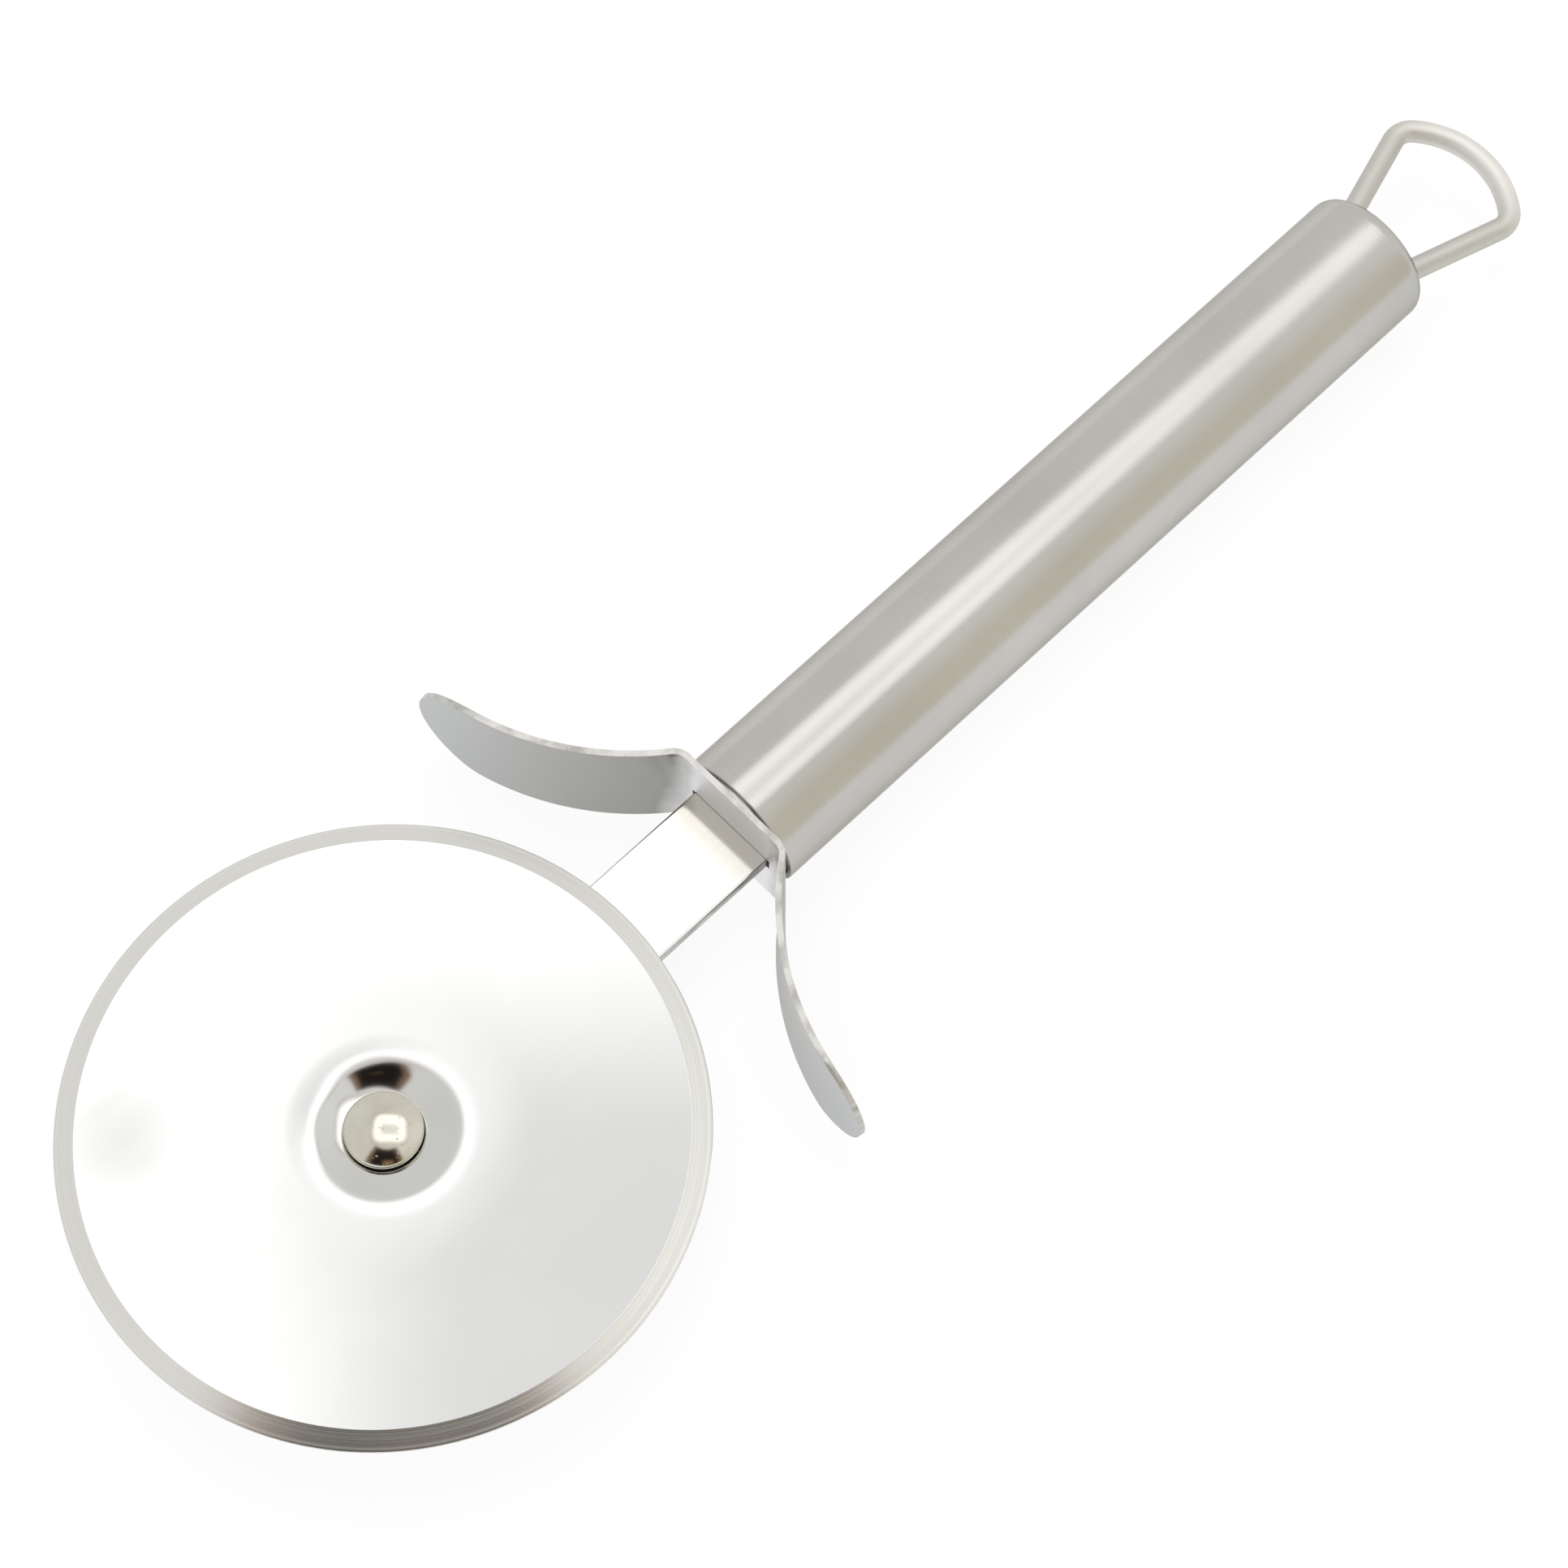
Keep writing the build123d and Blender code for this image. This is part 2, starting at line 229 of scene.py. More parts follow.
def bar_steel():
    """Stainless bar, polished flat. It is bright and a little hazy. Towards the guard its colour is
    warmer and darker, a painted reflection of the guard's web beside it."""
    made, tree, place = new_metal("polished_stainless_bar")
    along = add(tree, "ShaderNodeSeparateXYZ", {0: place}).outputs["X"]
    # Over the last few millimetres before the guard the colour turns warmer and darker: a painted reflection of
    # the guard's web
    root = add(tree, "ShaderNodeMapRange", {"Value": along, "From Min": -28 * MM, "From Max": -21 * MM})
    # Polishing strokes 0.4 mm wide run along the bar
    strokes = mottle(tree, place, 0.4, 3, (20, 1, 1))
    waves = mottle(tree, place, 14, 1)
    close_metal(tree, {
        "Base Color": add(tree, "ShaderNodeValToRGB", {"Fac": root},
                          [(0.1, colour("#d4d4d2")), (0.5, colour("#c6c3bb"))]),
        "Roughness": add(tree, "ShaderNodeMapRange", {"Value": strokes, "To Min": 0.07, "To Max": 0.15}),
        "Normal": add(tree, "ShaderNodeBump", {"Height": waves, "Distance": 0.006 * MM, "Strength": 0.5}),
    })
    return made


def ground_steel():
    """Stainless edge ground on a stone as the disc turns. The eye sees a satin ring with fine
    lines that run round it, a few of them deeper."""
    made, tree, place = new_metal("stone_ground_stainless")
    # Real lines are about 0.05 mm apart, and are drawn 0.25 mm apart so that they show. Steps
    # about 1 mm wide, where the stone dwelt, band the ring
    fine = rings(tree, place, 0.25)
    shallow = add(tree, "ShaderNodeMapRange", {"Value": fine, "To Min": 0.0, "To Max": 0.06})
    steps = add(tree, "ShaderNodeMath", {0: rings(tree, place, 1, 1), 1: shallow}, operation="ADD")
    close_metal(tree, {
        "Base Color": add(tree, "ShaderNodeValToRGB", {"Fac": fine},
                          [(0.3, colour("#dddcd8")), (0.7, colour("#e7e6e3"))]),
        "Roughness": add(tree, "ShaderNodeMapRange", {"Value": fine, "To Min": 0.2, "To Max": 0.32}),
        "Anisotropic": 0.5,
        "Normal": add(tree, "ShaderNodeBump", {"Height": steps, "Distance": 0.03 * MM, "Strength": 1.0}),
        "Tangent": add(tree, "ShaderNodeTangent", direction_type="RADIAL", axis="Z"),
    })
    return made


def satin_steel():
    """Stainless tube, belt ground across its length. The grain runs round the tube, so it draws
    a long soft highlight and breaks it into faint cross lines."""
    made, tree, place = new_metal("belt_ground_stainless")
    # Grain: real lines are about 0.03 mm wide, and are drawn 0.12 mm wide so that they show
    grain = mottle(tree, place, 0.12, 2, (1, 40, 40))
    cloud = mottle(tree, place, 16, 3, (1.6, 1, 1))
    faint = add(tree, "ShaderNodeMapRange", {"Value": grain, "To Min": -0.16, "To Max": 0.16})
    mixed = add(tree, "ShaderNodeMath", {0: cloud, 1: faint}, operation="ADD")
    close_metal(tree, {
        "Base Color": add(tree, "ShaderNodeValToRGB", {"Fac": mixed},
                          [(0.25, colour("#bfbdb9")), (0.5, colour("#c5c3bf")), (0.8, colour("#cac9c5"))]),
        "Roughness": add(tree, "ShaderNodeMapRange", {"Value": grain, "To Min": 0.2, "To Max": 0.3}),
        "Specular Tint": colour("#cfcdc8"),
        "Anisotropic": 0.55,
        "Normal": add(tree, "ShaderNodeBump", {"Height": grain, "Distance": 0.004 * MM, "Strength": 1.0}),
        "Tangent": add(tree, "ShaderNodeTangent", direction_type="RADIAL", axis="X"),
    })
    return made


def tumbled_steel():
    """Stainless strip, tumbled with stone after bending. Its wings are matt grey, painted darker next
    to the bends as painted shade and paler towards their tips, and the part between the bends is
    painted bright, a painted highlight."""
    made, tree, place = new_metal("tumbled_stainless")
    side = add(tree, "ShaderNodeSeparateXYZ", {0: place}).outputs["Y"]
    out = add(tree, "ShaderNodeMath", {0: side}, operation="ABSOLUTE")
    out = add(tree, "ShaderNodeMapRange", {"Value": out, "From Min": 0.0, "From Max": 40 * MM})
    cloud = mottle(tree, place, 9, 3)
    faint = add(tree, "ShaderNodeMapRange", {"Value": cloud, "To Min": -0.06, "To Max": 0.06})
    painted_light_and_mottle = add(tree, "ShaderNodeMath", {0: out, 1: faint}, operation="ADD")
    # Stone marks: real ones are about 0.1 mm, and are drawn 0.3 mm wide so that they show
    marks = mottle(tree, place, 0.3, 3)
    dull = add(tree, "ShaderNodeValToRGB", {"Fac": out}, [(0.16, grey(0.46)), (0.27, grey(0.36))])
    scratched = add(tree, "ShaderNodeMapRange", {"Value": marks, "To Min": -0.05, "To Max": 0.05})
    close_metal(tree, {
        # Painted light: the part between the bends is painted bright as a painted highlight, and the wings are
        # painted darker next to the bends as painted shade, with a faint mottle
        "Base Color": add(tree, "ShaderNodeValToRGB", {"Fac": painted_light_and_mottle},
                          [(0.16, colour("#f0f0f2")), (0.27, colour("#95948f")),
                           (0.6, colour("#acacaa")), (0.95, colour("#b9bbbc"))]),
        "Roughness": add(tree, "ShaderNodeMath", {0: dull, 1: scratched}, operation="ADD"),
        "Normal": add(tree, "ShaderNodeBump", {"Height": marks, "Distance": 0.005 * MM, "Strength": 1.0}),
    })
    return made


def drawn_steel():
    """Stainless wire, drawn through a die and tumbled. It is soft and grey, darker where it turns
    away from the eye, and its colour is set darker along its legs and paler round the far end of
    the bow."""
    made, tree, place = new_metal("drawn_stainless_wire")
    scale = mottle(tree, place, 1.2, 3, (3, 1, 1))
    faint = add(tree, "ShaderNodeMapRange", {"Value": scale, "To Min": -0.15, "To Max": 0.15})
    along = add(tree, "ShaderNodeSeparateXYZ", {0: place}).outputs["X"]
    bow = add(tree, "ShaderNodeMapRange", {"Value": along, "From Min": 112 * MM, "From Max": 118 * MM,
                                           "To Min": 0.15, "To Max": 0.85})
    tint = add(tree, "ShaderNodeMath", {0: bow, 1: faint}, operation="ADD")
    close_metal(tree, {
        "Base Color": add(tree, "ShaderNodeValToRGB", {"Fac": tint},
                          [(0.0, colour("#cbc9c4")), (1.0, colour("#f4f2ee"))]),
        "Roughness": add(tree, "ShaderNodeMapRange", {"Value": scale, "To Min": 0.5, "To Max": 0.62}),
        "Specular Tint": colour("#cfccc5"),
        "Normal": add(tree, "ShaderNodeBump", {"Height": mottle(tree, place, 0.3, 2),
                                               "Distance": 0.004 * MM, "Strength": 1.0}),
    })
    return made


def headed_steel():
    """Stainless rivet, cold headed and barrel polished. It is bright and slightly warm, with tiny
    pits that the die leaves."""
    made, tree, place = new_metal("cold_headed_stainless")
    haze = mottle(tree, place, 2.5, 3)
    pits = add(tree, "ShaderNodeValToRGB", {"Fac": mottle(tree, place, 0.45, 1)},
               [(0.24, grey(0.0)), (0.3, grey(1.0))])
    close_metal(tree, {
        "Base Color": add(tree, "ShaderNodeValToRGB", {"Fac": haze},
                          [(0.3, colour("#cdc9bd")), (0.7, colour("#d7d4c9"))]),
        "Roughness": add(tree, "ShaderNodeMapRange", {"Value": haze, "To Min": 0.09, "To Max": 0.17}),
        "Normal": add(tree, "ShaderNodeBump", {"Height": pits, "Distance": 0.05 * MM, "Strength": 1.0}),
    })
    return made


def plain_metal(name, marks_mm, detail, stretch, shades, roughness, depth_mm):
    """A metal that one pattern of marks both shades and roughens. Shades go from the pattern's low
    parts to its high ones, and so does the roughness."""
    made, tree, place = new_metal(name)
    marks = mottle(tree, place, marks_mm, detail, stretch)
    close_metal(tree, {
        "Base Color": add(tree, "ShaderNodeValToRGB", {"Fac": marks}, shades),
        "Roughness": add(tree, "ShaderNodeMapRange", {"Value": marks, "To Min": roughness[0],
                                                      "To Max": roughness[1]}),
        "Normal": add(tree, "ShaderNodeBump", {"Height": marks, "Distance": depth_mm * MM, "Strength": 1.0}),
    })
    return made


mirror_polished = mirror_steel()
polished_bar = bar_steel()
stone_ground = ground_steel()
belt_ground = satin_steel()
tumbled = tumbled_steel()
drawn = drawn_steel()
cold_headed = headed_steel()
# The cut edges of strip and bar. Blanking leaves them bright along one side and torn dull along
# the other, in fine marks that run with the edge
sheared = plain_metal("sheared_stainless_edge", 0.5, 3, (5, 5, 1),
                      [(0.3, colour("#b1aeaa")), (0.6, colour("#d3d1ce"))], (0.52, 0.38), 0.008)
# Washers and pins, stamped or turned. They are duller and darker than the sheet round them
stamped = plain_metal("stamped_stainless", 0.4, 3, (1, 1, 1),
                      [(0.3, colour("#8f8c86")), (0.7, colour("#a9a6a0"))], (0.25, 0.4), 0.01)
# The plug inside the handle, die-cast. It is pale, with a slightly rough skin
die_cast = plain_metal("die_cast_aluminium", 0.8, 4, (1, 1, 1),
                       [(0.3, colour("#c4c5c8")), (0.7, colour("#d6d7d9"))], (0.4, 0.55), 0.02)


# ---------------------------------------------------------------- cutting wheel

def make_wheel():
    """A pressed disc: dish floor, hollow wall, rim bend, flat face, ground bevel and thin edge."""
    bm = bmesh.new()
    bore_radius, floor_radius = 3.07, 4.6
    # The top side's bends, from the dish's floor out to the face: radius, degrees and steps
    bends = ((2.5, 16, 6), (12.3, 10, 8), (8, -22, 18), (26, -4, 8))
    # From the face to under the edge: radius, and depth below the face. The flat face is drawn in
    # short runs, so that its reflection stays smooth, and the bevel begins with a soft line
    outside = ((20, 0), (28, 0), (36.6, 0), (37.45, 0), (37.52, 0.015), (39.94, 0.87),
               (WHEEL_RADIUS, 0.95), (WHEEL_RADIUS, 1.05), (39, SHEET), (25, SHEET))
    ground_radius, ground_depth = 37.4, 1.1

    def draw_dish(depth):
        """The dish's profile at a depth in the sheet. Returns its inner and outer ends."""
        (start,) = about_axle([(bore_radius, FLOOR_TOP_Z - depth)])
        inner = bm.verts.new(start)
        tip = lines_to(bm, inner, about_axle([(floor_radius, FLOOR_TOP_Z - depth)]))
        heading = 0
        for radius, degrees, steps in bends:
            side = math.copysign(radius, degrees) + depth
            centre = tip.co + Vector((-math.sin(heading), 0, math.cos(heading))) * side
            tip = arc_to(bm, tip, centre, AGAINST_Y, degrees, steps)
            heading += math.radians(degrees)
        return inner, tip

    top_inner, top_outer = draw_dish(0)
    face_z = top_outer.co.z
    last = lines_to(bm, top_outer, about_axle((radius, face_z - depth) for radius, depth in outside))
    under_inner, under_outer = draw_dish(SHEET)
    bm.edges.new((last, under_outer))
    bm.edges.new((top_inner, under_inner))
    turn_profile(bm, (WHEEL_X, 0, 0), ALONG_Z, 180)
    for face in bm.faces:
        middle = face.calc_center_median()
        if math.hypot(middle.x - WHEEL_X, middle.y) > ground_radius and middle.z > face_z - ground_depth:
            face.material_index = 1
    wheel = finish_piece(bm, "wheel_disc", "wheel", "cutting_wheel",
                         [mirror_polished, stone_ground], 12)
    even_shading(wheel)


# ---------------------------------------------------------------- axle rivet

def make_rivet():
    """One solid rivet: domed head, short rim, shank, and a tail closed over its washer."""
    bm = bmesh.new()
    head_radius, dome_radius, rim_z, under_z, break_size = 4.95, 9.7, 13.6, 13.2, 0.05
    shank_radius, tail_z, tail_radius, tail_height = 2, 7.9, 3.3, 1.3
    lean = math.asin(head_radius / dome_radius)
    top_z = rim_z + dome_radius * (1 - math.cos(lean))
    tip = bm.verts.new((WHEEL_X, 0, top_z))
    # The dome stops just short of the rim, so that a small round joins them
    tip = arc_to(bm, tip, (WHEEL_X, 0, top_z - dome_radius), AGAINST_Y, -math.degrees(lean) * 0.965, 22)
    tip = lines_to(bm, tip, about_axle((
        (head_radius - break_size, rim_z - 0.02), (head_radius, rim_z - 0.12),
        (head_radius, under_z + break_size), (head_radius - break_size, under_z),
        (shank_radius, under_z), (shank_radius, tail_z), (tail_radius, tail_z))))
    arc_to(bm, tip, (WHEEL_X, 0, tail_z), ALONG_Y, 90, 14)
    turn_profile(bm, (WHEEL_X, 0, 0), ALONG_Z, 96)
    # The tail was drawn as a half ball and is pressed flatter
    for vert in bm.verts:
        if vert.co.z < tail_z:
            vert.co.z = tail_z + (vert.co.z - tail_z) * tail_height / tail_radius
    rivet = finish_piece(bm, "rivet", "handle", "axle_rivet", [cold_headed])
    even_shading(rivet)


# ---------------------------------------------------------------- arm

def make_arm():
    """A flat bar with a round end and edges just broken, bored for the rivet."""
    bm = bmesh.new()
    low, high, half_width, hole_radius, end_x, cut_corner = 8.5, 10.5, 6.5, 2.02, 10.95, 1.5
    break_size, border, square_fold = 0.15, 0.15, 1
    first = bm.verts.new((WHEEL_X - half_width, 0, low))
    tip = arc_to(bm, first, (WHEEL_X, 0, low), ALONG_Z, -90, 24)
    tip = lines_to(bm, tip, ((end_x - cut_corner, half_width, low), (end_x, half_width - cut_corner, low),
                             (end_x, 0, low), (WHEEL_X + hole_radius, 0, low)))
    tip = arc_to(bm, tip, (WHEEL_X, 0, low), ALONG_Z, 180, 24)
    bm.edges.new((tip, first))
    bmesh.ops.contextual_create(bm, geom=bm.edges[:])
    mirror_across_middle(bm)
    raise_shape(bm, bmesh.ops.extrude_face_region(bm, geom=bm.faces[:], use_keep_orig=True), high - low)
    bmesh.ops.recalc_face_normals(bm, faces=bm.faces[:])

    def is_outer(edge):
        """True for a square edge round the outline, false for an upright or one at the hole."""
        middle = (edge.verts[0].co + edge.verts[1].co) / 2
        level = abs(edge.verts[0].co.z - edge.verts[1].co.z) < 0.01
        outside = math.hypot(middle.x - WHEEL_X, middle.y) > hole_radius + 1
        return level and edge.is_manifold and edge.calc_face_angle() > square_fold and outside

    bmesh.ops.bevel(bm, geom=[e for e in bm.edges if is_outer(e)], offset=break_size, offset_type="OFFSET",
                    segments=2, profile=0.5, affect="EDGES", material=-1, clamp_overlap=True)
    bm.normal_update()
    # A narrow border keeps each flat side's shading flat up to the broken edges
    flats = [f for f in bm.faces if abs(f.normal.z) > 0.99]
    bmesh.ops.inset_region(bm, faces=flats, thickness=border, depth=0, use_even_offset=True)
    for face in bm.faces:
        if abs(face.normal.z) < 0.5:
            face.material_index = 1
    finish_piece(bm, "arm_bar", "handle", "arm", [polished_bar, sheared], 40)


# ---------------------------------------------------------------- finger guard

def make_guard():
    """One strip on edge, drawn as its middle line, raised to its width, cut to its rounded ends
    and slotted for the arm, then bowed across its width."""
    bm = bmesh.new()
    web_x, corner_y, bend_radius, lean, tip_lean, wing_radius, run = -20.95, 9.1, 2.6, 52.3, 11.2, 39.4, 0.4
    half_width, half_span, wall, bow, growth = 9.4, 39.83, 0.8, 0.45, 5
    slot_half_width, slot_half_height = 6.9, 1.12
    rows, end_cuts = 8, 24

    def along(degrees):
        return Vector((-math.sin(math.radians(degrees)), math.cos(math.radians(degrees)), 0))

    def backward(degrees):
        return Vector((math.cos(math.radians(degrees)), math.sin(math.radians(degrees)), 0))

    tangent = bend_radius * math.tan(math.radians(lean / 2))
    web_end = Vector((web_x, corner_y, 0)) - along(0) * tangent
    tip = bm.verts.new((web_x, 0, 0))
    tip = lines_to(bm, tip, [web_end])
    tip = arc_to(bm, tip, web_end - backward(0) * bend_radius, ALONG_Z, lean, 10)
    run_end = tip.co + along(lean) * run
    tip = lines_to(bm, tip, [run_end])
    wing_centre = run_end + backward(lean) * wing_radius
    tip = arc_to(bm, tip, wing_centre, ALONG_Z, tip_lean - lean, 40)
    reach = (half_span - tip.co.y) / math.cos(math.radians(tip_lean))
    lines_to(bm, tip, [tip.co + along(tip_lean) * reach])
    raise_shape(bm, bmesh.ops.extrude_edge_only(bm, edges=bm.edges[:]), 2 * half_width)

    def cut(place, square_to):
        bmesh.ops.bisect_plane(bm, geom=bm.verts[:] + bm.edges[:] + bm.faces[:], dist=0.0005,
                               plane_co=place, plane_no=square_to)

    levels = [-slot_half_height, slot_half_height] + [half_width * k / rows for k in range(1 - rows, rows) if k]
    for level in levels:
        cut((0, 0, half_width + level), ALONG_Z)
    cut((0, slot_half_width, 0), ALONG_Y)
    for k in range(1, end_cuts):
        past = half_width * math.sin(math.radians(90 * k / end_cuts))
        cut((0, half_span - half_width + past, 0), ALONG_Y)
    inside = [f for f in bm.faces if f.calc_center_median().y < slot_half_width
              and abs(f.calc_center_median().z - half_width) < slot_half_height]
    bmesh.ops.delete(bm, geom=inside, context="FACES")

    for vert in bm.verts:
        height = vert.co.z - half_width
        y = vert.co.y
        past = max(0, y - (half_span - half_width))
        height *= math.sqrt(max(0, half_width ** 2 - past ** 2)) / half_width
        if y > run_end.y:
            turned = math.degrees(math.asin((wing_centre.y - y) / wing_radius))
            angle = max(turned, tip_lean)
            travelled = min(1, (run + math.radians(lean - angle) * wing_radius) / (run + growth))
            depth = bow * travelled ** 2 * (3 - 2 * travelled) * (1 - (height / half_width) ** 2)
            vert.co += backward(angle) * depth
        vert.co.z = AXIS_Z + height
    mirror_across_middle(bm)
    guard = finish_piece(bm, "guard_strip", "handle", "finger_guard", [tumbled, sheared], 40)
    thick = guard.modifiers.new("wall", "SOLIDIFY")
    thick.thickness, thick.offset, thick.use_even_offset, thick.material_offset_rim = wall * MM, 0, True, 1
    soft = guard.modifiers.new("soft_edges", "BEVEL")
    soft.width, soft.segments, soft.limit_method, soft.angle_limit = 0.1 * MM, 2, "ANGLE", math.radians(60)
    soft.material = 1
    even_shading(guard)


# ---------------------------------------------------------------- handle

def make_tube():
    """The handle's tube, with its mouth's edges just broken."""
    bm = bmesh.new()
    bore, break_size = 8.7, 0.12
    start, *rest = about_handle((
        (MOUTH_X + break_size, HANDLE_RADIUS), (MOUTH_X, HANDLE_RADIUS - break_size),
        (MOUTH_X, bore + break_size), (MOUTH_X + break_size, bore),
        (CAP_JOINT_X, bore), (CAP_JOINT_X, HANDLE_RADIUS)))
    first = bm.verts.new(start)
    tip = lines_to(bm, first, rest)
    bm.edges.new((tip, first))
    turn_profile(bm, (0, 0, AXIS_Z), ALONG_X, 160)
    tube = finish_piece(bm, "tube", "handle", "handle_tube", [belt_ground])
    even_shading(tube)


def make_cap():
    """The handle's rounded end, ground flush with the tube, with a hollow spigot inside it."""
    bm = bmesh.new()
    rounding, spigot_radius, spigot_bore, spigot_x, floor_x = 2.1, 8.65, 7.65, 90.65, 96.85
    start, shoulder = about_handle(((CAP_JOINT_X, HANDLE_RADIUS), (HANDLE_END_X - rounding, HANDLE_RADIUS)))
    first = bm.verts.new(start)
    tip = lines_to(bm, first, [shoulder])
    tip = arc_to(bm, tip, (HANDLE_END_X - rounding, 0, AXIS_Z + HANDLE_RADIUS - rounding), ALONG_Y, 90, 14)
    lines_to(bm, tip, about_handle([(HANDLE_END_X, 0)]))
    lines_to(bm, first, about_handle((
        (CAP_JOINT_X, spigot_radius), (spigot_x, spigot_radius), (spigot_x, spigot_bore),
        (floor_x, spigot_bore), (floor_x, 0))))
    turn_profile(bm, (0, 0, AXIS_Z), ALONG_X, 160)
    cap = finish_piece(bm, "cap", "handle", "end_cap", [belt_ground])
    even_shading(cap)


def make_loop():
    """One bent wire: a leg, a small corner and half of the bow, then its mirror half."""
    bm = bmesh.new()
    wire_radius, corner_radius, bow_radius, leg_lean = 1.5, 2.9, 13.3, 17
    root_y, loop_reach, hidden = 5.2, 22.1, 7
    direction = Vector((math.cos(math.radians(leg_lean)), math.sin(math.radians(leg_lean)), 0))
    inward = Vector((direction.y, -direction.x, 0))
    root = Vector((HANDLE_END_X, root_y, AXIS_Z))
    bow_centre = Vector((HANDLE_END_X + loop_reach - wire_radius - bow_radius, 0, AXIS_Z))
    # The corner is tangent to its leg and touches the bow's circle from inside
    offset = root + inward * corner_radius - bow_centre
    forward = offset.dot(direction)
    reach = math.sqrt(forward ** 2 - offset.length_squared + (bow_radius - corner_radius) ** 2) - forward
    leg_start, leg_end = root - direction * hidden, root + direction * reach
    corner_centre = leg_end + inward * corner_radius
    bow_angle = math.degrees(math.atan2(corner_centre.y, corner_centre.x - bow_centre.x))

    ring = bmesh.ops.create_circle(bm, cap_ends=True, radius=wire_radius, segments=32)["verts"]
    bmesh.ops.rotate(bm, verts=ring, matrix=direction.to_track_quat("Z", "Y").to_matrix())
    bmesh.ops.translate(bm, verts=ring, vec=leg_start)
    grown = bmesh.ops.extrude_edge_only(bm, edges=bm.edges[:])["geom"]
    ends = [g for g in grown if isinstance(g, bmesh.types.BMVert)]
    bmesh.ops.translate(bm, verts=ends, vec=leg_end - leg_start)
    edges = [g for g in grown if isinstance(g, bmesh.types.BMEdge) and all(v in ends for v in g.verts)]
    turned = bmesh.ops.spin(bm, geom=edges, cent=corner_centre, axis=ALONG_Z,
                            angle=math.radians(bow_angle - (90 + leg_lean)), steps=20)["geom_last"]
    edges = [g for g in turned if isinstance(g, bmesh.types.BMEdge)]
    bmesh.ops.spin(bm, geom=edges, cent=bow_centre, axis=ALONG_Z, angle=-math.radians(bow_angle), steps=36)
    mirror_across_middle(bm)
    loop = finish_piece(bm, "loop_wire", "handle", "hanging_loop", [drawn])
    even_shading(loop)


make_wheel()
make_rivet()
make_arm()
make_guard()
make_tube()
make_cap()
make_loop()

# Pieces that the CAD already shapes well keep their own mesh
kept_looks = {
    "front_washer": stamped,
    "rear_washer": stamped,
    "tail_washer": stamped,
    "axle_bush": stamped,
    "tang_pins": stamped,
    "mouth_disc": belt_ground,
    "tang_plug": die_cast,
}
for node_name, finish in kept_looks.items():
    for material_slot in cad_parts[node_name].material_slots:
        material_slot.material = finish


# ---------------------------------------------------------------- floor, surroundings and light

TENT_RADIUS = 1.6


def stand_mesh(bm, name, finish):
    """A mesh of the studio as an object in the scene."""
    mesh = bpy.data.meshes.new(name)
    bm.to_mesh(mesh)
    bm.free()
    mesh.materials.append(finish)
    stood = bpy.data.objects.new(name, mesh)
    bpy.context.scene.collection.objects.link(stood)
    return stood


def is_looked_at(tree):
    """1 for the camera's view, a reflection or a view through clear matter, 0 where light falls."""
    rays = add(tree, "ShaderNodeLightPath").outputs
    seen = add(tree, "ShaderNodeMath", {0: rays["Is Camera Ray"], 1: rays["Is Glossy Ray"]},
               operation="MAXIMUM")
    return add(tree, "ShaderNodeMath", {0: seen, 1: rays["Is Transmission Ray"]}, operation="MAXIMUM")


def make_floor():
    """A plain pale floor. Seen straight or in the metal it is white, and it keeps a faint shadow."""
    bm = bmesh.new()
    bmesh.ops.create_grid(bm, x_segments=1, y_segments=1, size=6)
    made = bpy.data.materials.new("white_sweep")
    tree = new_tree(made)
    white_share = 0.92
    share = add(tree, "ShaderNodeMath", {0: is_looked_at(tree), 1: white_share}, operation="MULTIPLY")
    cloth = add(tree, "ShaderNodeBsdfDiffuse", {"Color": colour("#f4f4f4")})
    white = add(tree, "ShaderNodeEmission", {"Color": grey(1), "Strength": 1.0})
    mixed = add(tree, "ShaderNodeMixShader", {0: share, 1: cloth, 2: white})
    add(tree, "ShaderNodeOutputMaterial", {"Surface": mixed})
    floor = stand_mesh(bm, "floor", made)


